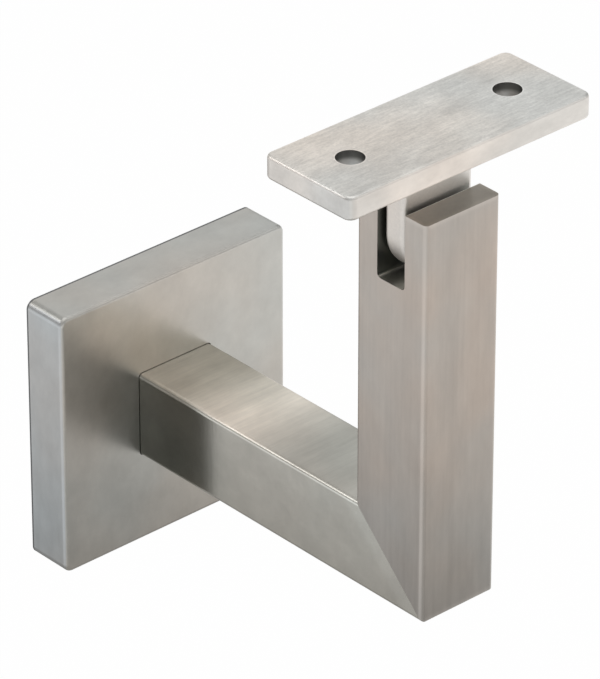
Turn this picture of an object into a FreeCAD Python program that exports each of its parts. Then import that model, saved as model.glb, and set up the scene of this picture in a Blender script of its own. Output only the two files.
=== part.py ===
"""Handrail bracket: a square bar elbow on a covered wall plate, with a tilting saddle for the rail.

The row frame: the origin is the centre of the wall face, +X runs along the rail,
+Y points into the wall and +Z is up. All sizes are in millimetres.
"""
import FreeCAD, Part
import math
import os
import re

import Sketcher

V = FreeCAD.Vector

# Driving dimensions: alias, size, and what it is.
SIZES = [
    ("bar_width", 20.0, "side of the square bar of the arm and the post"),
    ("bar_edge_radius", 1.0, "rounding along the bar's long edges"),
    ("reach", 88.5, "wall face to the middle of the post"),
    ("post_top_height", 82.0, "middle of the arm to the top of the post"),
    ("slot_width", 8.0, "width of the slot across the post's top"),
    ("slot_depth", 17.0, "depth of that slot"),
    ("slot_corner_radius", 1.0, "rounding in the corners of the slot's floor"),
    ("cover_width", 62.0, "side of the square cover"),
    ("cover_depth", 11.0, "depth of the cover off the wall"),
    ("cover_side_wall", 3.0, "thickness of the cover's four sides"),
    ("cover_front_wall", 2.0, "thickness of the cover's front"),
    ("cover_corner_radius", 2.0, "rounding of the cover's four corners"),
    ("cover_rim_radius", 0.9, "rounding round the cover's front"),
    ("cover_arm_gap", 0.12, "gap between the cover's cut-out and the arm"),
    ("cover_plate_gap", 1.5, "gap between the mounting plate and the cover's sides"),
    ("plate_thickness", 4.0, "thickness of the mounting plate"),
    ("plate_corner_radius", 3.0, "rounding of the mounting plate's corners"),
    ("wall_hole_radius", 3.25, "radius of the holes for the wall screws"),
    ("wall_hole_spacing_across", 36.0, "wall holes, centre to centre along X"),
    ("wall_hole_spacing_up", 36.0, "wall holes, centre to centre along Z"),
    ("arm_screw_radius", 2.5, "thread radius of the two arm screws"),
    ("arm_screw_head_radius", 4.6, "radius of their countersunk heads"),
    ("arm_screw_head_land", 0.3, "straight rim of the countersunk head"),
    ("arm_screw_sink", 0.2, "head of an arm screw below the wall face"),
    ("arm_screw_reach", 20.0, "wall face to the tip of an arm screw"),
    ("arm_screw_offset", 5.8, "arm screws above and below the bar's middle"),
    ("arm_screw_key_width", 3.0, "hexagon key of the arm screws, across flats"),
    ("arm_screw_key_depth", 2.0, "depth of that hexagon"),
    ("thread_gap", 0.05, "gap round a screw in its tapped hole and under its cone"),
    ("tapped_hole_spare", 2.0, "tapped hole beyond the tip of an arm screw"),
    ("screw_hole_gap", 0.25, "gap round a screw in a plain hole"),
    ("grub_radius", 1.5, "thread radius of the cover's grub screw"),
    ("grub_length", 4.0, "length of the grub screw"),
    ("grub_inset", 2.5, "wall face to the middle of the grub screw"),
    ("grub_tip_gap", 0.2, "grub screw's tip to the mounting plate"),
    ("grub_key_width", 1.5, "hexagon key of the grub screw, across flats"),
    ("grub_key_depth", 1.5, "depth of that hexagon"),
    ("grub_chamfer", 0.3, "chamfer at both ends of the grub screw"),
    ("saddle_length", 65.0, "length of the saddle plate along the rail"),
    ("saddle_width", 25.0, "width of the saddle plate"),
    ("saddle_thickness", 5.3, "thickness of the saddle plate"),
    ("saddle_lift", 10.2, "top of the post to the underside of the saddle plate"),
    ("saddle_corner_radius", 2.0, "rounding of the saddle plate's four corners"),
    ("saddle_edge_radius", 0.8, "easing round the saddle plate's top and underside"),
    ("rail_hole_radius", 3.0, "radius of the two holes for the rail screws"),
    ("rail_hole_spacing", 42.0, "rail holes, centre to centre"),
    ("tongue_width", 18.5, "width of the tongue along the rail"),
    ("tongue_thickness", 6.0, "thickness of the tongue"),
    ("tongue_floor_gap", 0.9, "round end of the tongue to the slot's floor"),
    ("tongue_edge_radius", 1.3, "rounding along the tongue's edges"),
    ("pivot_radius", 2.5, "shoulder radius of the pivot screw"),
    ("pivot_running_gap", 0.05, "gap round the shoulder in the tongue"),
    ("pivot_hole_gap", 0.1, "gap round the shoulder in the post"),
    ("pivot_head_radius", 4.25, "radius of the pivot screw's head"),
    ("pivot_head_height", 2.8, "height of the pivot screw's head"),
    ("pivot_head_sink", 0.3, "head of the pivot screw below the post's face"),
    ("pivot_head_chamfer", 0.4, "chamfer round the pivot screw's head"),
    ("pivot_key_width", 3.0, "hexagon key of the pivot screw, across flats"),
    ("pivot_key_depth", 1.6, "depth of that hexagon"),
    ("pivot_tip_radius", 2.0, "thread radius of the pivot screw's tip"),
    ("pivot_tip_length", 3.6, "thread of the pivot screw in the slot's front wall"),
    ("pivot_tip_spare", 0.6, "tapped hole beyond the pivot screw's tip"),
]

# What follows from the driving dimensions: alias, formula, and what it is.
DERIVED = [
    ("half_bar", "bar_width / 2", "half the bar's side"),
    ("bar_tip", "reach + half_bar", "wall face to the post's front"),
    ("post_back", "reach - half_bar", "wall face to the post's wall side"),
    ("half_slot", "slot_width / 2", "half the slot's width"),
    ("slot_floor_height", "post_top_height - slot_depth", "middle of the arm to the slot's floor"),
    ("tongue_end_radius", "tongue_width / 2", "radius of the tongue's round end"),
    ("pivot_height", "slot_floor_height + tongue_floor_gap + tongue_end_radius", "height of the pivot"),
    ("saddle_height", "post_top_height + saddle_lift - pivot_height", "pivot to the saddle's underside"),
    ("saddle_top", "saddle_height + saddle_thickness", "pivot to the top of the saddle"),
    ("pivot_head_seat", "pivot_head_sink + pivot_head_height", "post's wall side to the head's seat"),
    ("pivot_shoulder_end", "half_bar + half_slot", "post's wall side to the far side of the slot"),
    ("cover_opening", "bar_width + 2 * cover_arm_gap", "side of the cover's cut-out"),
    ("cover_inside", "cover_width - 2 * cover_side_wall", "side of the cover's hollow"),
    ("cover_inside_depth", "cover_depth - cover_front_wall", "depth of the cover's hollow"),
    ("plate_width", "cover_inside - 2 * cover_plate_gap", "side of the square mounting plate"),
    ("cover_bottom", "cover_width / 2", "middle of the arm down to the underside of the cover"),
    ("grub_tip_drop", "plate_width / 2 + grub_tip_gap", "middle of the arm down to the grub screw's tip"),
    ("arm_screw_hole_radius", "arm_screw_radius + screw_hole_gap", "plain hole of an arm screw"),
    ("arm_screw_cone_start", "arm_screw_sink + arm_screw_head_land", "wall face to the head's cone"),
    ("arm_screw_cone_end", "arm_screw_cone_start + arm_screw_head_radius - arm_screw_radius",
     "wall face to the end of the head's cone"),
    ("countersink", "arm_screw_head_radius + arm_screw_cone_start + thread_gap - arm_screw_hole_radius",
     "leg of the countersink's chamfer"),
    ("arm_thread_depth", "arm_screw_reach + tapped_hole_spare - plate_thickness", "tapped hole in the arm"),
]

ALIASES = {entry[0] for entry in SIZES + DERIVED}
PLANE_ROLES = {"XY": "XY_Plane", "XZ": "XZ_Plane", "YZ": "YZ_Plane"}
SAME_PLACE = 1e-5
LEAST_CUT = 1e-3

doc = FreeCAD.newDocument("handrail_bracket")
sheet = doc.addObject("Spreadsheet::Sheet", "sizes")


def fill_sheet():
    """Write every size into the sheet under its alias."""
    rows = [(alias, str(size), meaning) for alias, size, meaning in SIZES]
    rows += [(alias, "=" + formula, meaning) for alias, formula, meaning in DERIVED]
    for row, (alias, content, meaning) in enumerate(rows, start=1):
        sheet.set(f"A{row}", meaning)
        sheet.set(f"B{row}", content)
        sheet.setAlias(f"B{row}", alias)
    doc.recompute()


def bound(formula):
    """The formula with every alias in it read from the sheet."""
    return re.sub(r"[a-z_]+", lambda found: bound_word(found.group()), formula)


def bound_word(word):
    """One word of a formula: an alias gets the sheet's name, anything else stays."""
    return f"sizes.{word}" if word in ALIASES else word


def value(formula):
    """The present value of a formula."""
    return float(sheet.evalExpression(bound(formula)))


def new_body(label, along_x="0", along_y="0", along_z="0"):
    """A body whose Label names its node and its file, placed by three formulas."""
    body = doc.addObject("PartDesign::Body", label)
    body.Label = label
    for axis, formula in (("x", along_x), ("y", along_y), ("z", along_z)):
        body.setExpression(f".Placement.Base.{axis}", bound(formula))
    doc.recompute()
    return body


def new_sketch(body, plane, name, off="0", upward="0"):
    """A sketch on one of the body's own origin planes, moved off it and up in it."""
    role = PLANE_ROLES[plane]
    support = next(feature for feature in body.Origin.OriginFeatures if feature.Role == role)
    sketch = body.newObject("Sketcher::SketchObject", name)
    sketch.AttachmentSupport = (support, [""])
    sketch.MapMode = "FlatFace"
    sketch.setExpression(".AttachmentOffset.Base.z", bound(off))
    sketch.setExpression(".AttachmentOffset.Base.y", bound(upward))
    return sketch


def dimension(sketch, constraint, formula):
    """Add one dimension to the sketch and bind it to a formula."""
    index = sketch.addConstraint(constraint)
    sketch.renameConstraint(index, f"size_{index}")
    sketch.setExpression(f"Constraints.size_{index}", bound(formula))


def hold_point(sketch, geometry, point, across, upward):
    """Hold a point at two formulas from the sketch's origin."""
    for kind, formula, axis in (("DistanceX", across, -2), ("DistanceY", upward, -1)):
        if formula == "0":
            sketch.addConstraint(Sketcher.Constraint("PointOnObject", geometry, point, axis))
        else:
            dimension(sketch, Sketcher.Constraint(kind, geometry, point, value(formula)), formula)


def draw_circle(sketch, radius, across="0", upward="0"):
    """A circle whose centre and radius are formulas."""
    circle = Part.Circle(V(value(across), value(upward), 0), V(0, 0, 1), value(radius))
    index = sketch.addGeometry(circle, False)
    hold_point(sketch, index, 3, across, upward)
    dimension(sketch, Sketcher.Constraint("Radius", index, value(radius)), radius)


def draw_outline(sketch, corners):
    """A closed outline of straight edges through corners given as pairs of formulas."""
    points = [V(value(across), value(upward), 0) for across, upward in corners]
    count = len(points)
    for number in range(count):
        sketch.addGeometry(Part.LineSegment(points[number], points[(number + 1) % count]), False)
    for number in range(count):
        sketch.addConstraint(Sketcher.Constraint("Coincident", number, 2, (number + 1) % count, 1))
    for number, (across, upward) in enumerate(corners):
        hold_point(sketch, number, 1, across, upward)


def draw_rectangle(sketch, width, height):
    """A rectangle about the sketch's origin."""
    right, top = f"{width} / 2", f"{height} / 2"
    draw_outline(sketch, [
        (f"-{right}", f"-{top}"), (right, f"-{top}"), (right, top), (f"-{right}", top),
    ])


def draw_hexagon(sketch, across_flats):
    """A regular hexagon about the sketch's origin."""
    side, flat, half_side = f"{across_flats} / sqrt(3)", f"{across_flats} / 2", f"{across_flats} / sqrt(12)"
    draw_outline(sketch, [
        (side, "0"), (half_side, flat), (f"-{half_side}", flat),
        (f"-{side}", "0"), (f"-{half_side}", f"-{flat}"), (half_side, f"-{flat}"),
    ])


def pad(body, sketch, name, length, midplane=False, backwards=False):
    """Pad a sketch along its normal, to both sides of it or against its normal."""
    feature = body.newObject("PartDesign::Pad", name)
    feature.Profile = sketch
    feature.Midplane = midplane
    feature.Reversed = backwards
    feature.setExpression("Length", bound(length))
    sketch.Visibility = False
    doc.recompute()
    return feature


def revolve(body, sketch, name):
    """Turn a sketch once round its own level axis."""
    feature = body.newObject("PartDesign::Revolution", name)
    feature.Profile = sketch
    feature.ReferenceAxis = (sketch, ["H_Axis"])
    feature.Angle = 360
    doc.recompute()
    return feature


def check_cut(feature):
    """Stop if a cut took nothing from what was there before it."""
    doc.recompute()
    taken = feature.BaseFeature.Shape.Volume - feature.Shape.Volume
    if taken < LEAST_CUT:
        raise RuntimeError(f"{feature.Label} cuts nothing")
    return feature


def pocket(body, sketch, name, length=None, with_normal=False):
    """Cut a sketch to a depth, or right through on both sides of it."""
    feature = body.newObject("PartDesign::Pocket", name)
    feature.Profile = sketch
    if length is None:
        feature.Type = "ThroughAll"
        feature.Midplane = True
    else:
        feature.Reversed = with_normal
        feature.setExpression("Length", bound(length))
    return check_cut(feature)


def groove(body, sketch, name):
    """Cut a sketch turned once round its own level axis."""
    feature = body.newObject("PartDesign::Groove", name)
    feature.Profile = sketch
    feature.ReferenceAxis = (sketch, ["H_Axis"])
    feature.Angle = 360
    return check_cut(feature)


def edges_where(feature, test):
    """Names of the feature's edges that pass a test."""
    edges = enumerate(feature.Shape.Edges, start=1)
    names = [f"Edge{number}" for number, edge in edges if test(edge)]
    if not names:
        raise RuntimeError(f"{feature.Label} has no such edge")
    return names


def along(axis):
    """A test for straight edges that run along an axis of the body."""
    def test(edge):
        if len(edge.Vertexes) != 2:
            return False
        run = edge.Vertexes[1].Point - edge.Vertexes[0].Point
        return run.Length > SAME_PLACE and abs(abs(run.dot(axis)) - run.Length) < SAME_PLACE
    return test


def in_plane(axis, *places):
    """A test for edges that lie in a plane across an axis, at one of some places."""
    def test(edge):
        box = edge.BoundBox
        low = V(box.XMin, box.YMin, box.ZMin).dot(axis)
        high = V(box.XMax, box.YMax, box.ZMax).dot(axis)
        return any(abs(low - place) < SAME_PLACE and abs(high - place) < SAME_PLACE for place in places)
    return test


def round_edges(body, feature, name, test, radius):
    """Fillet the edges of a feature that pass a test."""
    fillet = body.newObject("PartDesign::Fillet", name)
    fillet.Base = (feature, edges_where(feature, test))
    fillet.setExpression("Radius", bound(radius))
    doc.recompute()
    return fillet


def chamfer_edges(body, feature, name, test, size):
    """Chamfer the edges of a feature that pass a test."""
    chamfer = body.newObject("PartDesign::Chamfer", name)
    chamfer.Base = (feature, edges_where(feature, test))
    chamfer.setExpression("Size", bound(size))
    doc.recompute()
    return chamfer


ALONG_X = V(1, 0, 0)
ALONG_Y = V(0, 1, 0)
ALONG_Z = V(0, 0, 1)
ARM_SCREW_SIDES = (("lower", "-"), ("upper", ""))


def make_mounting_plate():
    """The plate under the cover: four wall holes, two countersunk holes for the arm screws."""
    body = new_body("mounting_plate")
    outline = new_sketch(body, "XZ", "mounting_plate_outline")
    draw_rectangle(outline, "plate_width", "plate_width")
    blank = pad(body, outline, "mounting_plate_blank", "plate_thickness")
    round_edges(body, blank, "mounting_plate_corners", along(ALONG_Y), "plate_corner_radius")
    wall_holes = new_sketch(body, "XZ", "wall_hole_circles")
    for side in ("-", ""):
        for level in ("-", ""):
            draw_circle(wall_holes, "wall_hole_radius",
                        f"{side}wall_hole_spacing_across / 2", f"{level}wall_hole_spacing_up / 2")
    pocket(body, wall_holes, "wall_holes")
    screw_holes = new_sketch(body, "XZ", "arm_screw_hole_circles")
    for _, sign in ARM_SCREW_SIDES:
        draw_circle(screw_holes, "arm_screw_hole_radius", "0", f"{sign}arm_screw_offset")
    drilled = pocket(body, screw_holes, "arm_screw_holes")
    hole_radius = value("arm_screw_hole_radius")
    at_back = in_plane(ALONG_Y, 0.0)

    def mouth(edge):
        round_edge = isinstance(edge.Curve, Part.Circle)
        return round_edge and at_back(edge) and abs(edge.Curve.Radius - hole_radius) < SAME_PLACE

    chamfer_edges(body, drilled, "arm_screw_countersinks", mouth, "countersink")
    return body


def make_cover():
    """The square cover: an open box with a cut-out that the arm passes through."""
    body = new_body("cover")
    outline = new_sketch(body, "XZ", "cover_outline")
    draw_rectangle(outline, "cover_width", "cover_width")
    blank = pad(body, outline, "cover_blank", "cover_depth")
    cornered = round_edges(body, blank, "cover_corners", along(ALONG_Y), "cover_corner_radius")
    front = in_plane(ALONG_Y, -value("cover_depth"))
    round_edges(body, cornered, "cover_rim", front, "cover_rim_radius")
    hollow = new_sketch(body, "XZ", "cover_hollow_outline")
    draw_rectangle(hollow, "cover_inside", "cover_inside")
    pocket(body, hollow, "cover_hollow", "cover_inside_depth", with_normal=True)
    opening = new_sketch(body, "XZ", "cover_opening_outline")
    draw_rectangle(opening, "cover_opening", "cover_opening")
    opened = pocket(body, opening, "cover_arm_opening")
    half_opening = value("cover_opening / 2")

    def opening_corner(edge):
        middle = edge.CenterOfMass
        beside = abs(abs(middle.x) - half_opening) < SAME_PLACE
        above = abs(abs(middle.z) - half_opening) < SAME_PLACE
        return beside and above and along(ALONG_Y)(edge)

    round_edges(body, opened, "cover_opening_corners", opening_corner, "bar_edge_radius")
    grub_hole = new_sketch(body, "XY", "grub_hole_circle", off="-cover_bottom")
    draw_circle(grub_hole, "grub_radius + thread_gap", "0", "-grub_inset")
    pocket(body, grub_hole, "grub_hole", "cover_side_wall", with_normal=True)
    return body


def make_grub_screw():
    """The set screw in the underside of the cover; its origin is the middle of its tip."""
    body = new_body("cover_grub_screw", "0", "-grub_inset", "-grub_tip_drop")
    outline = new_sketch(body, "XY", "grub_outline")
    draw_circle(outline, "grub_radius")
    rod = pad(body, outline, "grub_rod", "grub_length", backwards=True)
    ends = in_plane(ALONG_Z, 0.0, -value("grub_length"))
    chamfer_edges(body, rod, "grub_ends", ends, "grub_chamfer")
    key = new_sketch(body, "XY", "grub_key_outline", off="-grub_length")
    draw_hexagon(key, "grub_key_width")
    pocket(body, key, "grub_key", "grub_key_depth", with_normal=True)
    return body


def make_arm():
    """The level bar: it starts on the mounting plate and ends in the mitre."""
    body = new_body("arm")
    section = new_sketch(body, "XZ", "arm_section", off="plate_thickness")
    draw_rectangle(section, "bar_width", "bar_width")
    bar = pad(body, section, "arm_bar", "bar_tip - plate_thickness")
    round_edges(body, bar, "arm_edges", along(ALONG_Y), "bar_edge_radius")
    mitre = new_sketch(body, "YZ", "arm_mitre_outline")
    draw_outline(mitre, [("-bar_tip", "-half_bar"), ("-post_back", "half_bar"), ("-bar_tip", "half_bar")])
    pocket(body, mitre, "arm_mitre")
    threads = new_sketch(body, "XZ", "arm_thread_circles", off="plate_thickness")
    for _, sign in ARM_SCREW_SIDES:
        draw_circle(threads, "arm_screw_radius + thread_gap", "0", f"{sign}arm_screw_offset")
    pocket(body, threads, "arm_threads", "arm_thread_depth", with_normal=True)
    return body


def make_arm_screw(side, sign):
    """A countersunk screw from the wall face into the arm."""
    label = f"arm_screw_{side}"
    body = new_body(label, "0", "0", f"{sign}arm_screw_offset")
    profile = new_sketch(body, "YZ", f"{label}_profile")
    draw_outline(profile, [
        ("-arm_screw_sink", "0"),
        ("-arm_screw_sink", "arm_screw_head_radius"),
        ("-arm_screw_cone_start", "arm_screw_head_radius"),
        ("-arm_screw_cone_end", "arm_screw_radius"),
        ("-arm_screw_reach", "arm_screw_radius"),
        ("-arm_screw_reach", "0"),
    ])
    revolve(body, profile, f"{label}_turned")
    key = new_sketch(body, "XZ", f"{label}_key_outline", off="arm_screw_sink")
    draw_hexagon(key, "arm_screw_key_width")
    pocket(body, key, f"{label}_key", "arm_screw_key_depth", with_normal=True)
    return body


def make_post():
    """The upright bar: mitred foot, slot for the tongue, stepped bore for the pivot screw."""
    body = new_body("post", "0", "-reach", "0")
    section = new_sketch(body, "XY", "post_section", off="-half_bar")
    draw_rectangle(section, "bar_width", "bar_width")
    bar = pad(body, section, "post_bar", "post_top_height + half_bar")
    round_edges(body, bar, "post_edges", along(ALONG_Z), "bar_edge_radius")
    mitre = new_sketch(body, "YZ", "post_mitre_outline")
    draw_outline(mitre, [("-half_bar", "-half_bar"), ("half_bar", "-half_bar"), ("half_bar", "half_bar")])
    pocket(body, mitre, "post_mitre")
    slot = new_sketch(body, "YZ", "slot_outline")
    draw_outline(slot, [
        ("-half_slot", "slot_floor_height"), ("half_slot", "slot_floor_height"),
        ("half_slot", "post_top_height"), ("-half_slot", "post_top_height"),
    ])
    slotted = pocket(body, slot, "slot")
    floor = in_plane(ALONG_Z, value("slot_floor_height"))

    def floor_corner(edge):
        return floor(edge) and along(ALONG_X)(edge)

    round_edges(body, slotted, "slot_corners", floor_corner, "slot_corner_radius")
    bore = new_sketch(body, "YZ", "pivot_bore_profile", upward="pivot_height")
    draw_outline(bore, [
        ("half_bar", "0"),
        ("half_bar", "pivot_head_radius + screw_hole_gap"),
        ("half_bar - pivot_head_seat", "pivot_head_radius + screw_hole_gap"),
        ("half_bar - pivot_head_seat", "pivot_radius + pivot_hole_gap"),
        ("-half_slot", "pivot_radius + pivot_hole_gap"),
        ("-half_slot", "pivot_tip_radius + thread_gap"),
        ("-half_slot - pivot_tip_length - pivot_tip_spare", "pivot_tip_radius + thread_gap"),
        ("-half_slot - pivot_tip_length - pivot_tip_spare", "0"),
    ])
    groove(body, bore, "pivot_bore")
    return body


def make_pivot_screw():
    """The shoulder screw; its origin is on the post's wall side, on the pivot's axis."""
    body = new_body("pivot_screw", "0", "-post_back", "pivot_height")
    profile = new_sketch(body, "YZ", "pivot_screw_profile")
    draw_outline(profile, [
        ("-pivot_head_sink", "0"),
        ("-pivot_head_sink", "pivot_head_radius - pivot_head_chamfer"),
        ("-pivot_head_sink - pivot_head_chamfer", "pivot_head_radius"),
        ("-pivot_head_seat", "pivot_head_radius"),
        ("-pivot_head_seat", "pivot_radius"),
        ("-pivot_shoulder_end", "pivot_radius"),
        ("-pivot_shoulder_end", "pivot_tip_radius"),
        ("-pivot_shoulder_end - pivot_tip_length", "pivot_tip_radius"),
        ("-pivot_shoulder_end - pivot_tip_length", "0"),
    ])
    revolve(body, profile, "pivot_screw_turned")
    key = new_sketch(body, "XZ", "pivot_key_outline", off="pivot_head_sink")
    draw_hexagon(key, "pivot_key_width")
    pocket(body, key, "pivot_key", "pivot_key_depth", with_normal=True)
    return body


def make_saddle():
    """The plate under the rail and its tongue, cast in one; the origin is on the pivot's axis."""
    body = new_body("saddle", "0", "-reach", "pivot_height")
    outline = new_sketch(body, "XY", "saddle_outline", off="saddle_height")
    draw_rectangle(outline, "saddle_length", "saddle_width")
    blank = pad(body, outline, "saddle_blank", "saddle_thickness")
    cornered = round_edges(body, blank, "saddle_corners", along(ALONG_Z), "saddle_corner_radius")
    faces = in_plane(ALONG_Z, value("saddle_height"), value("saddle_top"))
    round_edges(body, cornered, "saddle_edges", faces, "saddle_edge_radius")
    holes = new_sketch(body, "XY", "rail_hole_circles", off="saddle_top")
    for side in ("-", ""):
        draw_circle(holes, "rail_hole_radius", f"{side}rail_hole_spacing / 2")
    pocket(body, holes, "rail_holes", "saddle_thickness")
    tongue = new_sketch(body, "XZ", "tongue_outline")
    draw_tongue(tongue)
    hung = pad(body, tongue, "tongue", "tongue_thickness", midplane=True)
    half_thickness = value("tongue_thickness / 2")
    tongue_faces = in_plane(ALONG_Y, -half_thickness, half_thickness)
    underside = in_plane(ALONG_Z, value("saddle_height"))

    def tongue_edge(edge):
        return tongue_faces(edge) and not underside(edge)

    round_edges(body, hung, "tongue_edges", tongue_edge, "tongue_edge_radius")
    bore = new_sketch(body, "XZ", "tongue_bore_circle")
    draw_circle(bore, "pivot_radius + pivot_running_gap")
    pocket(body, bore, "tongue_bore")
    return body


def draw_tongue(sketch):
    """The tongue's outline: two straight sides from the underside, and a round end about the pivot."""
    radius, top = value("tongue_end_radius"), value("saddle_height")
    round_end = Part.ArcOfCircle(Part.Circle(V(), V(0, 0, 1), radius), math.pi, 2 * math.pi)
    left = sketch.addGeometry(Part.LineSegment(V(-radius, top, 0), V(-radius, 0, 0)), False)
    end = sketch.addGeometry(round_end, False)
    right = sketch.addGeometry(Part.LineSegment(V(radius, 0, 0), V(radius, top, 0)), False)
    head = sketch.addGeometry(Part.LineSegment(V(radius, top, 0), V(-radius, top, 0)), False)
    for before, after in ((left, end), (end, right), (right, head), (head, left)):
        sketch.addConstraint(Sketcher.Constraint("Coincident", before, 2, after, 1))
    sketch.addConstraint(Sketcher.Constraint("Coincident", end, 3, -1, 1))
    sketch.addConstraint(Sketcher.Constraint("PointOnObject", end, 1, -1))
    sketch.addConstraint(Sketcher.Constraint("PointOnObject", end, 2, -1))
    sketch.addConstraint(Sketcher.Constraint("Vertical", left))
    sketch.addConstraint(Sketcher.Constraint("Vertical", right))
    sketch.addConstraint(Sketcher.Constraint("Horizontal", head))
    dimension(sketch, Sketcher.Constraint("Radius", end, radius), "tongue_end_radius")
    dimension(sketch, Sketcher.Constraint("DistanceY", head, 1, top), "saddle_height")


def check_document():
    """Stop if any object of the document failed."""
    for item in doc.Objects:
        if {"Invalid", "Error"} & set(item.State):
            raise RuntimeError(f"{item.Label} failed: {item.State}")


def check_shapes(bodies):
    """Stop if a body isn't one sound solid."""
    for body in bodies:
        shape = body.Shape
        if shape.isNull() or not shape.isValid() or len(shape.Solids) != 1:
            raise RuntimeError(f"{body.Label} isn't one sound solid")


def write_parts(bodies):
    """Write one STEP file for each body."""
    os.makedirs("parts", exist_ok=True)
    for body in bodies:
        body.Shape.exportStep(f"parts/{body.Label}.step")
        box = body.Shape.BoundBox
        print(f"{body.Label}: {body.Shape.Volume:.1f} mm3, "
              f"X {box.XMin:.2f} to {box.XMax:.2f}, Y {box.YMin:.2f} to {box.YMax:.2f}, "
              f"Z {box.ZMin:.2f} to {box.ZMax:.2f}")


fill_sheet()
pieces = [make_mounting_plate(), make_cover(), make_grub_screw(), make_arm()]
pieces += [make_arm_screw(side, sign) for side, sign in ARM_SCREW_SIDES]
pieces += [make_post(), make_pivot_screw(), make_saddle()]
doc.recompute()
check_document()
check_shapes(pieces)
write_parts(pieces)
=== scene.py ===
"""Finishes, light and camera of the handrail bracket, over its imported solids. All lengths are in metres."""
import math

import bpy
from mathutils import Matrix, Vector


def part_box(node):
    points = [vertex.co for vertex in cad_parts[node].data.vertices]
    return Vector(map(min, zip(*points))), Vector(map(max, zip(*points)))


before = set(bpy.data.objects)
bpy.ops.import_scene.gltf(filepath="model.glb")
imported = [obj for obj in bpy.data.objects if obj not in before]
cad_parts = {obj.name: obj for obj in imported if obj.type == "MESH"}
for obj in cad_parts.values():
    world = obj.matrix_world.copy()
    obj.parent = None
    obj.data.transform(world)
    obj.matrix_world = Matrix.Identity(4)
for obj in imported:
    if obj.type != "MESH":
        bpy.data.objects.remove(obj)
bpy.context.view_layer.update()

# Where the pieces are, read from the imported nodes.
ARM_LOW, ARM_HIGH = (Vector(corner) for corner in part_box("arm"))
POST_LOW, POST_HIGH = (Vector(corner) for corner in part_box("post"))
SADDLE_LOW, SADDLE_HIGH = (Vector(corner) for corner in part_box("saddle"))
COVER_LOW, COVER_HIGH = (Vector(corner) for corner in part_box("cover"))
PLATE_LOW, PLATE_HIGH = (Vector(corner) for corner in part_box("mounting_plate"))
POST_MIDDLE = (POST_LOW + POST_HIGH) / 2

ALONG_X = (1.0, 0.0, 0.0)
ALONG_Y = (0.0, 1.0, 0.0)
ALONG_Z = (0.0, 0.0, 1.0)

# A face looks along an axis from the first cosine on, and fully at the second.
FACING_FROM, FACING_FULL = 0.6, 0.8

# How far the roughness swings with the grain or the pits.
BAR_ROUGH_SWING = 0.14
SADDLE_ROUGH_SWING = 0.12
SCREW_ROUGH_SWING = 0.20

# The milled slot in the post: the painted shade on its walls, the painted light on its floor and the narrow
# fade of its mask.
HALF_SLOT = 0.004
SLOT_FLOOR = POST_HIGH.z - 0.017
SLOT_FADE_FROM, SLOT_FADE_TO = 0.00002, 0.0002
SLOT_WALL_SHADE = (0.25, 0.26, 0.24)
SLOT_FLOOR_LIGHT = (0.85, 0.84, 0.79)

# The post is darkened towards its foot over this height, a painted shade.
FOOT_HEIGHT = 0.045
FOOT_SHADE_TONE = (0.86, 0.90, 0.93)

# The arm's top, from the post to the cover: painted shade, a warm painted highlight, then plain. Y says where
# they change.
SHADED_END_UP_TO, HIGHLIGHT_FROM = -0.058, -0.038
HIGHLIGHT_UP_TO, PLAIN_FROM = -0.032, -0.018
ARM_END_SHADE_TONE = (0.71, 0.71, 0.70)
WARM_HIGHLIGHT_TONE = (1.34, 1.27, 1.22)
PLAIN_TONE = (1.04, 0.98, 0.92)

# The lighter strip along the mitre, full up to the first distance and gone at the second.
MITRE_STRIP, MITRE_FADE = 0.0025, 0.0065
MITRE_TONE = (1.10, 1.11, 1.12)

# The thin dark line of painted shadow round the cover at the wall.
WALL_LINE = 0.0006
WALL_SHADOW_COLOUR = (0.16, 0.16, 0.16)

# The saddle: its plate and tongue, the painted light that makes its sides and tongue lighter and its ends
# darker, the painted highlights on its edges and hole rims, and its rail holes.
SADDLE_THICKNESS = 0.0053
SADDLE_UNDERSIDE = SADDLE_HIGH.z - SADDLE_THICKNESS
SADDLE_SIDE_LIGHT_LEVEL = 1.13
TONGUE_LIGHT_LEVEL = 1.16
SADDLE_EDGE_HIGHLIGHT = 0.10
RIM_HIGHLIGHT = 0.16
LONG_SIDE_SHADING = (1.02, 0.985, 0.97)
END_SHADING = (0.89, 0.86, 0.86)
RAIL_HOLE_OFFSET = 0.021
RAIL_HOLE_RADIUS = 0.003
RIM_FROM, RIM_TO = 0.0001, 0.0004
SHADE_UP_TO, LIT_FROM = 0.0012, 0.0024
HOLE_SHADE_COLOUR = (0.20, 0.20, 0.19)
HOLE_LIT_COLOUR = (0.56, 0.55, 0.53)

# The photograph's frame and the camera fitted to the bracket's edges.
FRAME_HEIGHT_PX = 679
FOCAL_PX = 6038.0
SENSOR = 36.0
NEAREST_SEEN = 0.05
VIEW_AZIMUTH = math.radians(-41.88)
VIEW_ELEVATION = math.radians(30.40)
VIEW_DISTANCE = 1.2397
VIEW_TARGET = Vector((0.0, -0.050, 0.030))
VIEW_ACROSS = 0.00035
VIEW_UP = 0.00136

WHITE = (1.0, 1.0, 1.0)

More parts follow.
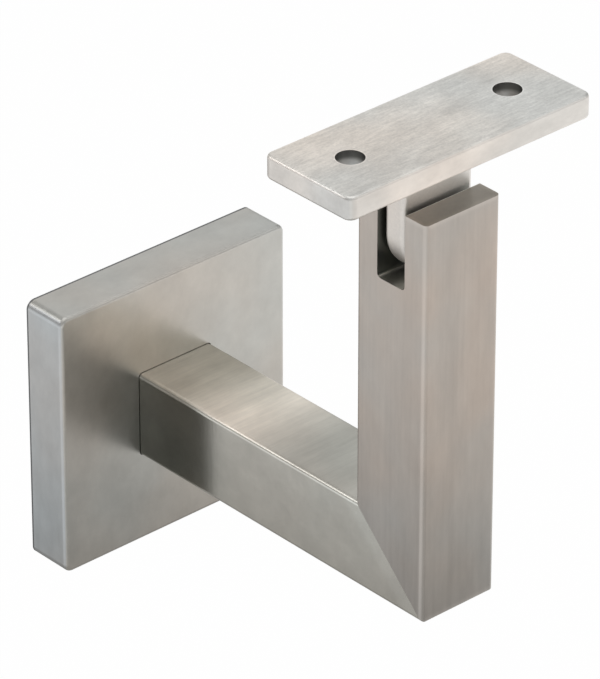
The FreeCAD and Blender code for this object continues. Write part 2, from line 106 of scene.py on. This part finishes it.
# The floor. In the steel's reflections it carries a painted shadow, dark under the bracket and lighter in
# zones away from it, each zone laid over the last.
FLOOR_LEVEL = -0.12
FLOOR_SIDE = 8.0
FLOOR_MATT = (0.80, 0.80, 0.79)
FLOOR_SEEN_SHARE = 0.985
FLOOR_MIRRORED_SHARE = 0.90
FLOOR_PAINTED_SHADOW = (0.34, 0.34, 0.33)
FLOOR_SHADOW_ZONES = (
    # axis, from, to, share at each, colour
    ("X", 0.088, 0.172, 0.0, 1.0, (1.08, 1.05, 1.02)),
    ("Y", -0.38, -0.27, 1.0, 0.0, (0.98, 0.96, 0.95)),
    ("X", 0.17, 0.26, 0.0, 1.0, (1.10, 1.09, 1.08)),
    ("X", -0.225, -0.10, 1.0, 0.0, (1.04, 1.08, 1.10)),
)

# The room, from below the horizon up.
ROOM_FROM, ROOM_TO = -0.1, 0.9
ROOM_LOW = (0.45, 0.45, 0.45)
ROOM_HIGH = (0.50, 0.50, 0.50)

# The soft square lamps.
LAMPS = (
    # name, place, target, side, watts
    ("top_light", (0.05, -0.10, 0.90), (0.0, -0.05, 0.03), 0.90, 2.5),
    ("back_panel", (0.207, 0.185, 0.203), (0.0, -0.045, 0.02), 0.26, 0.09),
    ("front_right_light", (0.75, -0.85, 0.65), (0.0, -0.05, 0.03), 0.60, 0.65),
    ("back_left_light", (-0.60, 0.72, 0.68), (0.0, -0.05, 0.03), 0.45, 1.5),
)

# The dark card that puts painted shade into the steel's reflections near the arm's root, and the ray depth
# from which light meets it.
CARD_MIDDLE = Vector((-0.0450, -0.0382, -0.0250))
CARD_FACES = Vector((0.576, 0.642, 0.506))
CARD_HALF = 0.022
CARD_SHADE_COLOUR = (0.17, 0.17, 0.16)
CARD_MET_FROM = 1.5


def add_node(tree, kind, inputs=None, **settings):
    """A node with its settings made, and each input linked to a socket or given a value."""
    node = tree.nodes.new(kind)
    for name, setting in settings.items():
        setattr(node, name, setting)
    for name, content in (inputs or {}).items():
        socket = node.inputs[name]
        if isinstance(content, bpy.types.NodeSocket):
            tree.links.new(content, socket)
        elif socket.type == "RGBA":
            socket.default_value = (*content, 1.0)
        else:
            socket.default_value = content
    return node


def calculate(tree, operation, *terms):
    """The result of a Math node."""
    return add_node(tree, "ShaderNodeMath", dict(enumerate(terms)), operation=operation).outputs[0]


def times(tree, first, second):
    """Two values multiplied."""
    return calculate(tree, "MULTIPLY", first, second)


def away_from(tree, mask):
    """The mask of all that another mask leaves out."""
    return calculate(tree, "SUBTRACT", 1.0, mask)


def vector_math(tree, operation, *terms):
    """A Vector Math node's two outputs, the vector and the value."""
    return add_node(tree, "ShaderNodeVectorMath", dict(enumerate(terms)), operation=operation).outputs


def split_place(tree, place):
    """The three coordinates of a place."""
    return add_node(tree, "ShaderNodeSeparateXYZ", {0: place}).outputs


def ramp_between(tree, reading, low, high, at_low=0.0, at_high=1.0):
    """A smooth step from one value to another as a reading passes from low to high."""
    return add_node(tree, "ShaderNodeMapRange", {
        "Value": reading, "From Min": low, "From Max": high, "To Min": at_low, "To Max": at_high,
    }, interpolation_type="SMOOTHSTEP").outputs["Result"]


def fade_between(tree, reading, low, high):
    """A smooth step down from one to nought as a reading passes from low to high."""
    return ramp_between(tree, reading, low, high, 1.0, 0.0)


def blend_values(tree, share, first, second):
    """Two values mixed by a share."""
    return add_node(tree, "ShaderNodeMix", {0: share, 2: first, 3: second}).outputs[0]


def blend_colours(tree, share, first, second, blend_type="MIX"):
    """Two colours mixed by a share."""
    return add_node(tree, "ShaderNodeMix", {0: share, 6: first, 7: second},
                    data_type="RGBA", blend_type=blend_type).outputs[2]


def tone_where(tree, share, colour, tone):
    """The colour multiplied by a tone, as far as the share says."""
    return blend_colours(tree, share, colour, tone, "MULTIPLY")


def shade_by_level(tree, colour, level):
    """The colour made lighter or darker all over by a level."""
    grey = add_node(tree, "ShaderNodeCombineColor", {0: level, 1: level, 2: level}).outputs[0]
    return tone_where(tree, 1.0, colour, grey)


def new_group(name, inputs, outputs):
    """An empty shader group with named sockets, the sockets that it is given and those of its result."""
    group = bpy.data.node_groups.new(name, "ShaderNodeTree")
    for in_out, sockets in (("INPUT", inputs), ("OUTPUT", outputs)):
        for label, kind in sockets.items():
            group.interface.new_socket(name=label, in_out=in_out, socket_type=f"NodeSocket{kind}")
    return group, group.nodes.new("NodeGroupInput").outputs, group.nodes.new("NodeGroupOutput").inputs


def add_noise(tree, place, scale, detail, roughness):
    """A noise from nought to one."""
    return add_node(tree, "ShaderNodeTexNoise", {
        "Vector": place, "Scale": scale, "Detail": detail, "Roughness": roughness,
    }).outputs["Fac"]


def make_grain_group():
    """Brushing marks: fine lines and broad bands, both drawn out by the scale of the incoming vector."""
    group, given, result = new_group(
        "brushed_grain",
        {"Vector": "Vector", "Fine Contrast": "Float", "Broad Contrast": "Float"},
        {"Tone": "Float", "Height": "Float"},
    )
    fine = add_noise(group, given["Vector"], 1.0, 3.0, 0.65)
    broad = add_noise(group, given["Vector"], 0.17, 2.0, 0.5)
    fine_tone = times(group, calculate(group, "SUBTRACT", fine, 0.5), given["Fine Contrast"])
    broad_swing = calculate(group, "SUBTRACT", broad, 0.5)
    tone = calculate(group, "MULTIPLY_ADD", broad_swing, given["Broad Contrast"], fine_tone)
    group.links.new(calculate(group, "ADD", tone, 1.0), result["Tone"])
    group.links.new(fine, result["Height"])
    return group


def make_drift_group():
    """A slow drift between two tints of the same steel."""
    group, given, result = new_group(
        "tone_drift",
        {"Vector": "Vector", "Scale": "Float", "Warm": "Color", "Cool": "Color"},
        {"Color": "Color"},
    )
    clouds = add_noise(group, given["Vector"], given["Scale"], 2.0, 0.45)
    share = ramp_between(group, clouds, 0.3, 0.7)
    group.links.new(blend_colours(group, share, given["Warm"], given["Cool"]), result["Color"])
    return group


def make_edge_group():
    """A mask on the edges of a block: where two of its sides are near at once."""
    group, given, result = new_group(
        "block_edges",
        {"Vector": "Vector", "Half Size": "Vector", "Band": "Float"},
        {"Mask": "Float"},
    )
    away = vector_math(group, "ABSOLUTE", given["Vector"])["Vector"]
    across, deep, high = split_place(
        group, vector_math(group, "SUBTRACT", given["Half Size"], away)["Vector"])
    least = calculate(group, "MINIMUM", calculate(group, "MINIMUM", across, deep), high)
    most = calculate(group, "MAXIMUM", calculate(group, "MAXIMUM", across, deep), high)
    total = calculate(group, "ADD", calculate(group, "ADD", across, deep), high)
    second = calculate(group, "SUBTRACT", calculate(group, "SUBTRACT", total, least), most)
    group.links.new(fade_between(group, second, 0.0, given["Band"]), result["Mask"])
    return group


def make_mottling_group():
    """Soft clouds, specks or blasted pits, by their scale."""
    group, given, result = new_group(
        "mottling",
        {"Vector": "Vector", "Scale": "Float", "Contrast": "Float"},
        {"Tone": "Float", "Height": "Float"},
    )
    pits = add_noise(group, given["Vector"], given["Scale"], 4.0, 0.7)
    swing = calculate(group, "SUBTRACT", pits, 0.5)
    group.links.new(calculate(group, "MULTIPLY_ADD", swing, given["Contrast"], 1.0), result["Tone"])
    group.links.new(pits, result["Height"])
    return group


GRAIN = make_grain_group()
DRIFT = make_drift_group()
EDGES = make_edge_group()
MOTTLING = make_mottling_group()


def use_group(tree, group, inputs):
    """The outputs of a group placed in a material with this material's own values."""
    return add_node(tree, "ShaderNodeGroup", inputs, node_tree=group).outputs


def start_material(name):
    """A material with its nodes cleared, its node tree and the object's own coordinates."""
    material = bpy.data.materials.new(name)
    material.use_nodes = True
    tree = material.node_tree
    tree.nodes.clear()
    return material, tree, tree.nodes.new("ShaderNodeTexCoord").outputs["Object"]


def end_material(tree, shader):
    """The shader linked to the material's output."""
    add_node(tree, "ShaderNodeOutputMaterial", {"Surface": shader.outputs[0]})


def centred(tree, place, middle, scale=(1.0, 1.0, 1.0)):
    """Coordinates measured from the middle of a piece, drawn out by a scale."""
    from_middle = vector_math(tree, "SUBTRACT", place, middle)["Vector"]
    return vector_math(tree, "MULTIPLY", from_middle, scale)["Vector"]


def facing(tree, axis):
    """A mask on the faces that look along an axis of the piece, either way."""
    outward = tree.nodes.new("ShaderNodeTexCoord").outputs["Normal"]
    along = vector_math(tree, "DOT_PRODUCT", outward, axis)["Value"]
    return ramp_between(tree, calculate(tree, "ABSOLUTE", along), FACING_FROM, FACING_FULL)


def rough_about(tree, height, middle, swing):
    """A roughness that follows the height of the grain or the pits about its middle value."""
    return calculate(tree, "MULTIPLY_ADD", height, swing, middle - swing / 2)


def finish_steel(tree, colour, roughness, height, relief, anisotropy=0.0, grain_axes=None):
    """The steel shader: metal with bumps, and reflections that the grain stretches.

    The grain runs along the first of its axes, and along the second on faces that look along the first.
    """
    bumps = add_node(tree, "ShaderNodeBump", {"Height": height, "Distance": relief, "Strength": 1.0})
    shader = add_node(tree, "ShaderNodeBsdfPrincipled", {
        "Base Color": colour, "Roughness": roughness, "Metallic": 1.0, "Normal": bumps.outputs["Normal"],
        "Anisotropic": anisotropy, "Anisotropic Rotation": 0.25,
    })
    if grain_axes is not None:
        first, second = grain_axes
        axis = add_node(tree, "ShaderNodeMix", {0: facing(tree, first), 4: first, 5: second},
                        data_type="VECTOR")
        turned = add_node(tree, "ShaderNodeVectorTransform", {0: axis.outputs[1]},
                          vector_type="VECTOR", convert_from="OBJECT", convert_to="WORLD")
        tree.links.new(turned.outputs[0], shader.inputs["Tangent"])
    end_material(tree, shader)


def shade_slot(tree, place, colour):
    """The colour with painted shade on the slot's milled walls and painted light on its floor laid in."""
    _, y, z = split_place(tree, place)
    across = calculate(tree, "ABSOLUTE", calculate(tree, "SUBTRACT", y, POST_MIDDLE.y))
    between = fade_between(tree, across, HALF_SLOT + SLOT_FADE_FROM, HALF_SLOT + SLOT_FADE_TO)
    above = ramp_between(tree, z, SLOT_FLOOR - SLOT_FADE_TO, SLOT_FLOOR - SLOT_FADE_FROM)
    in_slot = times(tree, away_from(tree, facing(tree, ALONG_X)), times(tree, between, above))
    # Painted shade on the slot's walls and painted light on its floor.
    slot_light_and_shade = blend_colours(tree, facing(tree, ALONG_Z), SLOT_WALL_SHADE, SLOT_FLOOR_LIGHT)
    return blend_colours(tree, in_slot, colour, slot_light_and_shade)


def shade_foot(tree, place, colour):
    """The colour with painted shade darkening the post towards its foot."""
    height = split_place(tree, place)["Z"]
    at_foot = fade_between(tree, height, POST_LOW.z, POST_LOW.z + FOOT_HEIGHT)
    # Painted shade: the post darker towards its foot.
    return tone_where(tree, at_foot, colour, FOOT_SHADE_TONE)


def paint_arm_top_light(tree, place, colour):
    """The colour with painted light on the arm's top: painted shade towards the post, a warm painted
    highlight across the middle, then plain towards the cover.
    """
    y = split_place(tree, place)["Y"]
    by_cover = ramp_between(tree, y, HIGHLIGHT_UP_TO, PLAIN_FROM)
    # Painted light on the arm's top: shade towards the post, a warm highlight band in the middle.
    highlight_to_cover = blend_colours(tree, by_cover, WARM_HIGHLIGHT_TONE, PLAIN_TONE)
    arm_top_shading = blend_colours(tree, ramp_between(tree, y, SHADED_END_UP_TO, HIGHLIGHT_FROM), ARM_END_SHADE_TONE, highlight_to_cover)
    return tone_where(tree, facing(tree, ALONG_Z), colour, arm_top_shading)


def lighten_mitre(tree, place, colour):
    """The colour with a lighter strip along the mitre."""
    _, y, z = split_place(tree, place)
    off_mitre = calculate(tree, "SUBTRACT", y, z)
    by_mitre = fade_between(tree, off_mitre, POST_MIDDLE.y + MITRE_STRIP, POST_MIDDLE.y + MITRE_FADE)
    return tone_where(tree, by_mitre, colour, MITRE_TONE)


def shade_wall_edge(tree, place, colour):
    """The colour with a thin dark line of painted shadow round the cover at the wall."""
    y = split_place(tree, place)["Y"]
    at_wall = ramp_between(tree, y, COVER_HIGH.y - WALL_LINE, COVER_HIGH.y - WALL_LINE / 2)
    on_sides = times(tree, at_wall, away_from(tree, facing(tree, ALONG_Y)))
    # Painted shadow: a thin dark line round the cover at the wall.
    return blend_colours(tree, on_sides, colour, WALL_SHADOW_COLOUR)


def brushed_steel(name, low, high, finish):
    """Brushed steel of a piece between two corners: drifting tint, clouds, grain, edges lightened as a
    painted highlight, and faces made lighter and darker by the way they look, as painted light and shade.

    The finish's changes are functions that alter the colour at one place of the piece.
    """
    middle = (low + high) / 2
    material, tree, place = start_material(name)
    drift = use_group(tree, DRIFT, {
        "Vector": place, "Scale": finish["drift"], "Warm": finish["warm"], "Cool": finish["cool"],
    })
    grain = use_group(tree, GRAIN, {
        "Vector": centred(tree, place, middle, finish["grain_scale"]),
        "Fine Contrast": finish["fine"], "Broad Contrast": finish["broad"],
    })
    clouds = use_group(tree, MOTTLING, {
        "Vector": centred(tree, place, middle, finish["cloud_scale"]), "Scale": 1.0,
        "Contrast": finish["clouds"],
    })
    edges = use_group(tree, EDGES, {
        "Vector": centred(tree, place, middle), "Half Size": (high - low) / 2, "Band": finish["band"],
    })
    brushed = grain["Tone"]
    rough = rough_about(tree, grain["Height"], finish["roughness"], BAR_ROUGH_SWING)
    if "brushed_faces" in finish:
        on_brushed = facing(tree, finish["brushed_faces"])
        brushed = blend_values(tree, on_brushed, 1.0, brushed)
        rough = blend_values(tree, on_brushed, finish["plain_roughness"], rough)
    rough = calculate(tree, "MULTIPLY_ADD", edges["Mask"], finish["edge_roughness"], rough)
    # Painted highlight: the edges made lighter.
    painted_edge_highlight = times(tree, edges["Mask"], finish["edge_highlight"])
    level = calculate(tree, "MULTIPLY_ADD", brushed, clouds["Tone"], painted_edge_highlight)
    colour = shade_by_level(tree, drift["Color"], level)
    # Painted light and shade: the faces that look up, and those that look along X, get their own lighter and
    # darker tones.
    if "top_shading" in finish:
        colour = tone_where(tree, facing(tree, ALONG_Z), colour, finish["top_shading"])
    if "side_shading" in finish:
        colour = tone_where(tree, facing(tree, ALONG_X), colour, finish["side_shading"])
    for change in finish.get("changes", ()):
        colour = change(tree, place, colour)
    finish_steel(tree, colour, rough, grain["Height"], finish["relief"], 0.45, finish["grain_axes"])
    return material


def near_rail_hole(tree, place):
    """A mask on the walls and the rims of the two holes for the rail screws."""
    x, y, _ = split_place(tree, place)
    along = calculate(tree, "SUBTRACT", calculate(tree, "ABSOLUTE", x), RAIL_HOLE_OFFSET)
    across = calculate(tree, "SUBTRACT", y, POST_MIDDLE.y)
    flat = add_node(tree, "ShaderNodeCombineXYZ", {"X": along, "Y": across}).outputs[0]
    away = vector_math(tree, "LENGTH", flat)["Value"]
    return fade_between(tree, away, RAIL_HOLE_RADIUS + RIM_FROM, RAIL_HOLE_RADIUS + RIM_TO)


def saddle_steel():
    """The saddle's steel: lengthwise grain, specks and clouds on the plate, a blasted tongue below it,
    painted light that lightens its sides and tongue and darkens its ends, and painted highlights on its edges
    and hole rims.
    """
    material, tree, place = start_material("ground_saddle")
    middle = (0.0, POST_MIDDLE.y, SADDLE_HIGH.z - SADDLE_THICKNESS / 2)
    half_size = (SADDLE_HIGH.x, (SADDLE_HIGH.y - SADDLE_LOW.y) / 2, SADDLE_THICKNESS / 2)
    drift = use_group(tree, DRIFT, {
        "Vector": place, "Scale": 34.0, "Warm": (0.800, 0.745, 0.680), "Cool": (0.665, 0.668, 0.645),
    })
    grain = use_group(tree, GRAIN, {
        "Vector": centred(tree, place, middle, (220.0, 1300.0, 400.0)),
        "Fine Contrast": 0.52, "Broad Contrast": 0.14,
    })
    clouds = use_group(tree, MOTTLING, {
        "Vector": centred(tree, place, middle, (70.0, 130.0, 130.0)), "Scale": 1.0, "Contrast": 0.62,
    })
    specks = use_group(tree, MOTTLING, {"Vector": place, "Scale": 1900.0, "Contrast": 0.46})
    pits = use_group(tree, MOTTLING, {"Vector": place, "Scale": 1500.0, "Contrast": 0.22})
    edges = use_group(tree, EDGES, {
        "Vector": centred(tree, place, middle), "Half Size": half_size, "Band": 0.0012,
    })
    height = split_place(tree, place)["Z"]
    on_tongue = fade_between(tree, height, SADDLE_UNDERSIDE - 0.0004, SADDLE_UNDERSIDE + 0.0001)
    on_top = facing(tree, ALONG_Z)
    by_hole = near_rail_hole(tree, place)

    streaked = times(tree, grain["Tone"], specks["Tone"])
    # Painted light: the saddle's sides lighter than its grained top.
    streaked_top_lit_sides = blend_values(tree, on_top, SADDLE_SIDE_LIGHT_LEVEL, streaked)
    # Painted highlights on the saddle's edges and on the rims of its rail holes.
    painted_edge_highlight = times(tree, edges["Mask"], SADDLE_EDGE_HIGHLIGHT)
    rim_highlight = times(tree, times(tree, by_hole, on_top), RIM_HIGHLIGHT)
    edge_and_rim_highlight = calculate(tree, "ADD", painted_edge_highlight, rim_highlight)
    plate_level = calculate(tree, "MULTIPLY_ADD", streaked_top_lit_sides, clouds["Tone"], edge_and_rim_highlight)
    # Painted light: the tongue made lighter.
    tongue_level = times(tree, pits["Tone"], TONGUE_LIGHT_LEVEL)
    colour = shade_by_level(tree, drift["Color"], blend_values(tree, on_tongue, plate_level, tongue_level))
    # Painted light and shade: the long sides get their own tone and the ends are darker.
    colour = tone_where(tree, facing(tree, ALONG_Y), colour, LONG_SIDE_SHADING)
    colour = tone_where(tree, facing(tree, ALONG_X), colour, END_SHADING)

    # The wall of a rail hole is dark at the top and lighter below.
    on_wall = times(tree, by_hole, away_from(tree, on_top))
    deep = fade_between(tree, height, SADDLE_HIGH.z - LIT_FROM, SADDLE_HIGH.z - SHADE_UP_TO)
    hole_wall = blend_colours(tree, deep, HOLE_SHADE_COLOUR, HOLE_LIT_COLOUR)
    colour = blend_colours(tree, on_wall, colour, hole_wall)

    bumps = blend_values(tree, on_tongue, grain["Height"], pits["Height"])
    rough = rough_about(tree, grain["Height"], 0.43, SADDLE_ROUGH_SWING)
    finish_steel(tree, colour, rough, bumps, 0.00002, 0.3, (ALONG_X, ALONG_Y))
    return material


def turned_steel():
    """The screws' steel: drifting tint and fine pits, without grain."""
    material, tree, place = start_material("turned_screws")
    drift = use_group(tree, DRIFT, {
        "Vector": place, "Scale": 60.0, "Warm": (0.56, 0.54, 0.50), "Cool": (0.50, 0.50, 0.49),
    })
    pits = use_group(tree, MOTTLING, {"Vector": place, "Scale": 2500.0, "Contrast": 0.12})
    colour = shade_by_level(tree, drift["Color"], pits["Tone"])
    rough = rough_about(tree, pits["Height"], 0.30, SCREW_ROUGH_SWING)
    finish_steel(tree, colour, rough, pits["Height"], 0.00001)
    return material


def dress_pieces():
    """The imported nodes' finishes, one for each kind of steel on the bracket."""
    post = brushed_steel("brushed_post", POST_LOW, POST_HIGH, {
        "warm": (0.500, 0.435, 0.382), "cool": (0.462, 0.432, 0.398), "drift": 40.0,
        "grain_scale": (700.0, 700.0, 26.0), "fine": 0.26, "broad": 0.14,
        "cloud_scale": (170.0, 170.0, 60.0), "clouds": 0.30,
        "band": 0.0013, "edge_highlight": 0.20, "edge_roughness": 0.04, "roughness": 0.36,
        "relief": 0.000006, "grain_axes": (ALONG_Z, ALONG_X),
        "top_shading": (0.86, 0.86, 0.85), "side_shading": (1.07, 1.05, 1.05),
        "changes": (shade_foot, shade_slot),
    })
    arm = brushed_steel("brushed_arm", ARM_LOW, ARM_HIGH, {
        "warm": (0.608, 0.574, 0.520), "cool": (0.584, 0.586, 0.542), "drift": 26.0,
        "grain_scale": (55.0, 800.0, 55.0), "fine": 0.40, "broad": 0.26,
        "cloud_scale": (90.0, 110.0, 130.0), "clouds": 0.38,
        "band": 0.0013, "edge_highlight": 0.06, "edge_roughness": 0.12, "roughness": 0.34,
        "relief": 0.000006, "grain_axes": (ALONG_X, ALONG_Y),
        "brushed_faces": ALONG_Z, "plain_roughness": 0.17,
        "changes": (paint_arm_top_light, lighten_mitre),
    })
    cover = brushed_steel("brushed_cover", COVER_LOW, COVER_HIGH, {
        "warm": (0.634, 0.592, 0.540), "cool": (0.592, 0.596, 0.571), "drift": 30.0,
        "grain_scale": (200.0, 500.0, 90.0), "fine": 0.14, "broad": 0.10,
        "cloud_scale": (110.0, 150.0, 90.0), "clouds": 0.38,
        "band": 0.0013, "edge_highlight": 0.08, "edge_roughness": 0.10, "roughness": 0.36,
        "relief": 0.000006, "grain_axes": (ALONG_Z, ALONG_X),
        "top_shading": (0.80, 0.81, 0.81), "side_shading": (0.87, 0.90, 0.96),
        "changes": (shade_wall_edge,),
    })
    plate = brushed_steel("mill_sheet", PLATE_LOW, PLATE_HIGH, {
        "warm": (0.500, 0.480, 0.450), "cool": (0.440, 0.445, 0.440), "drift": 45.0,
        "grain_scale": (900.0, 300.0, 60.0), "fine": 0.34, "broad": 0.24,
        "cloud_scale": (120.0, 120.0, 50.0), "clouds": 0.34,
        "band": 0.0006, "edge_highlight": 0.12, "edge_roughness": -0.04, "roughness": 0.40,
        "relief": 0.000006, "grain_axes": (ALONG_Z, ALONG_X),
    })
    turned = turned_steel()
    finishes = {
        "post": post, "arm": arm, "cover": cover, "saddle": saddle_steel(), "mounting_plate": plate,
        "cover_grub_screw": turned, "arm_screw_lower": turned, "arm_screw_upper": turned,
        "pivot_screw": turned,
    }
    for node_name, material in finishes.items():
        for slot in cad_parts[node_name].material_slots:
            slot.material = material


def show_object(name, content):
    """An object in the scene for a mesh, a lamp or a camera."""
    thing = bpy.data.objects.new(name, content)
    bpy.context.scene.collection.objects.link(thing)
    return thing


def stand_square(name, middle, looks_along, half):
    """A square sheet that looks along a direction, from its middle and half its side."""
    turn = Vector(looks_along).to_track_quat("Z", "Y")
    corners = [middle + turn @ Vector((x * half, y * half, 0.0))
               for x, y in ((-1, -1), (1, -1), (1, 1), (-1, 1))]
    mesh = bpy.data.meshes.new(name)
    mesh.from_pydata([corner[:] for corner in corners], [], [(0, 1, 2, 3)])
    return show_object(name, mesh)


def lay_floor():
    """A pale floor that the camera and the metal see as the backdrop, with a soft shadow left in it, and a
    painted shadow under the bracket that only the steel's reflections see.

    It is clear to a camera below it, so that the underside of the bracket can be looked at.
    """
    floor = stand_square("floor", Vector((0.0, 0.0, FLOOR_LEVEL)), ALONG_Z, FLOOR_SIDE / 2)
    material, tree, place = start_material("pale_floor")
    coordinates = split_place(tree, place)
    mirrored_shadow_colour = FLOOR_PAINTED_SHADOW
    # Painted shadow for the steel's reflections: dark under the bracket, lighter zone by zone away from it.
    for axis, low, high, at_low, at_high, colour in FLOOR_SHADOW_ZONES:
        share = ramp_between(tree, coordinates[axis], low, high, at_low, at_high)
        mirrored_shadow_colour = blend_colours(tree, share, mirrored_shadow_colour, colour)
    path = tree.nodes.new("ShaderNodeLightPath").outputs
    colour = blend_colours(tree, path["Is Camera Ray"], mirrored_shadow_colour, WHITE)
    glow = add_node(tree, "ShaderNodeEmission", {"Color": colour, "Strength": 1.0})
    matt = add_node(tree, "ShaderNodeBsdfDiffuse", {"Color": FLOOR_MATT})
    seen = times(tree, path["Is Camera Ray"], FLOOR_SEEN_SHARE)
    mirrored = calculate(tree, "MAXIMUM", path["Is Glossy Ray"], path["Is Transmission Ray"])
    share = calculate(tree, "MAXIMUM", seen, times(tree, mirrored, FLOOR_MIRRORED_SHARE))
    mixed = add_node(tree, "ShaderNodeMixShader", {0: share, 1: matt.outputs[0], 2: glow.outputs[0]})
    clear = add_node(tree, "ShaderNodeBsdfTransparent")
    back = tree.nodes.new("ShaderNodeNewGeometry").outputs["Backfacing"]
    end_material(tree, add_node(tree, "ShaderNodeMixShader", {
        0: times(tree, path["Is Camera Ray"], back), 1: mixed.outputs[0], 2: clear.outputs[0],
    }))
    floor.data.materials.append(material)


def light_studio():
    """A pale room, a large soft lamp above, one at the front right and two behind."""
    world = bpy.data.worlds.new("pale_room")
    bpy.context.scene.world = world
    world.use_nodes = True
    tree = world.node_tree
    tree.nodes.clear()
    way = tree.nodes.new("ShaderNodeTexCoord").outputs["Generated"]
    rise = ramp_between(tree, split_place(tree, way)["Z"], ROOM_FROM, ROOM_TO)
    room = blend_colours(tree, rise, ROOM_LOW, ROOM_HIGH)
    path = tree.nodes.new("ShaderNodeLightPath").outputs
    colour = blend_colours(tree, path["Is Camera Ray"], room, WHITE)
    background = add_node(tree, "ShaderNodeBackground", {"Color": colour, "Strength": 1.0})
    add_node(tree, "ShaderNodeOutputWorld", {"Surface": background.outputs[0]})
    for name, place, target, side, power in LAMPS:
        light = bpy.data.lights.new(name, "AREA")
        light.shape = "SQUARE"
        light.size = side
        light.energy = power
        towards = (Vector(target) - Vector(place)).to_track_quat("-Z", "Y")
        lamp = show_object(name, light)
        lamp.matrix_world = Matrix.Translation(Vector(place)) @ towards.to_matrix().to_4x4()


def stand_shade_card():
    """A dark card in front and below that puts painted shade into the reflections in the corner beside the
    arm's root.

    Only light that went from steel to steel meets it, so no side of the bracket mirrors it by itself.
    """
    # Painted shade: a dark card seen only in reflections that went from steel to steel.
    card = stand_square("shade_card", CARD_MIDDLE, CARD_FACES, CARD_HALF)
    card.visible_camera = card.visible_diffuse = card.visible_transmission = card.visible_shadow = False
    material, tree, _ = start_material("shade_card")
    matt = add_node(tree, "ShaderNodeBsdfDiffuse", {"Color": CARD_SHADE_COLOUR})
    clear = add_node(tree, "ShaderNodeBsdfTransparent")
    path = tree.nodes.new("ShaderNodeLightPath").outputs
    met = calculate(tree, "GREATER_THAN", path["Ray Depth"], CARD_MET_FROM)
    end_material(tree, add_node(tree, "ShaderNodeMixShader", {
        0: met, 1: clear.outputs[0], 2: matt.outputs[0],
    }))
    card.data.materials.append(material)


def set_camera():
    """The camera at the photograph's angle, from the fit to the bracket's edges."""
    back = Vector((
        math.sin(VIEW_AZIMUTH) * math.cos(VIEW_ELEVATION),
        -math.cos(VIEW_AZIMUTH) * math.cos(VIEW_ELEVATION),
        math.sin(VIEW_ELEVATION),
    ))
    right = Vector((math.cos(VIEW_AZIMUTH), math.sin(VIEW_AZIMUTH), 0.0))
    up = back.cross(right)
    place = VIEW_TARGET + back * VIEW_DISTANCE + right * VIEW_ACROSS + up * VIEW_UP
    turn = Matrix((right, up, back)).transposed()
    camera_data = bpy.data.cameras.new("camera")
    camera_data.sensor_width = SENSOR
    camera_data.lens = FOCAL_PX * SENSOR / FRAME_HEIGHT_PX
    camera_data.clip_start = NEAREST_SEEN
    camera = show_object("camera", camera_data)
    camera.matrix_world = Matrix.Translation(place) @ turn.to_4x4()
    bpy.context.scene.camera = camera


bpy.context.scene.view_settings.view_transform = "Standard"
set_camera()
lay_floor()
light_studio()
stand_shade_card()
dress_pieces()
